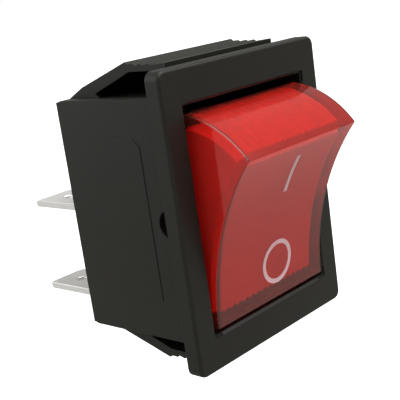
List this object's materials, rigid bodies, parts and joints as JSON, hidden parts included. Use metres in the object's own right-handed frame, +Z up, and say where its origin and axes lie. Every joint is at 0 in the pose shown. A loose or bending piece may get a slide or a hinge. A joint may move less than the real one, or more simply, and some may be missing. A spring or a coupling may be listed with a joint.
{
  "type": "panel rocker switch",
  "caption": "Snap-in two-pole rocker switch: clear lens over a fluted lamp-lit core in a deep rectangular housing with toothed latch wings and flat blade terminals.",
  "frame": {"origin": "centre of the panel opening, in the plane of the bezel's rear face, where the switch seats on its panel", "axes": "+X to the right across the switch, +Y through the panel towards the terminals, +Z up the long side; the rocker's face looks along -Y"},
  "size_m": [0.0254, 0.0357, 0.033],
  "materials": {
    "housing_plastic": "fine matte texture, charcoal black",
    "lens_plastic": "polished, clear smoky red",
    "core_plastic": "smooth bright red",
    "lamp_glass": "clear",
    "resistor_body": "lacquered",
    "tinned_wire": "tinned",
    "brass": "turned",
    "spring_steel": "drawn wire",
    "copper_strip": "rolled strip",
    "contact_silver": "satin silver",
    "terminal_silver": "tin plated, rolled",
    "mark_print": "printed, pale pink"
  },
  "bodies": {
    "body": {"housing": "housing_plastic", "centre_terminal_left": "terminal_silver", "centre_terminal_right": "terminal_silver", "end_terminal_left": "terminal_silver", "end_terminal_right": "terminal_silver", "fixed_contact_left": "contact_silver", "fixed_contact_right": "contact_silver"},
    "rocker": {"rocker_lens": "lens_plastic", "rocker_core": "core_plastic", "neon_lamp": "lamp_glass", "lamp_resistor": "resistor_body", "lamp_lead_left": "tinned_wire", "lamp_lead_right": "tinned_wire", "plunger_spring_left": "spring_steel", "plunger_spring_right": "spring_steel"},
    "contact_arm_left": {"bridge_left": "copper_strip", "moving_contact_left": "contact_silver"},
    "contact_arm_right": {"bridge_right": "copper_strip", "moving_contact_right": "contact_silver"},
    "plunger_left": {"plunger_left": "brass"},
    "plunger_right": {"plunger_right": "brass"}
  },
  "joints": [
    {"name": "rocker_pivot", "type": "hinge", "parent": "body", "child": "rocker", "pos_m": [0, 0.001, 0], "axis": [-1, 0, 0], "range_deg": [0, 41]},
    {"name": "contact_arm_left_rock", "type": "hinge", "parent": "body", "child": "contact_arm_left", "pos_m": [-0.0058, 0.01083, 0], "axis": [1, 0, 0], "range_deg": [0, 16]},
    {"name": "contact_arm_right_rock", "type": "hinge", "parent": "body", "child": "contact_arm_right", "pos_m": [0.0058, 0.01083, 0], "axis": [1, 0, 0], "range_deg": [0, 16]},
    {"name": "plunger_left_slide", "type": "slide", "parent": "rocker", "child": "plunger_left", "axis": [0, 0.9367, 0.3502], "range_m": [-0.0006, 0], "stiffness_N_per_m": 300, "deforming": ["plunger_spring_left"]},
    {"name": "plunger_right_slide", "type": "slide", "parent": "rocker", "child": "plunger_right", "axis": [0, 0.9367, 0.3502], "range_m": [-0.0006, 0], "stiffness_N_per_m": 300, "deforming": ["plunger_spring_right"]}
  ],
  "couplings": [
    {"joint": "contact_arm_left_rock", "follows": "rocker_pivot", "ratio": 0.39},
    {"joint": "contact_arm_right_rock", "follows": "rocker_pivot", "ratio": 0.39}
  ]
}
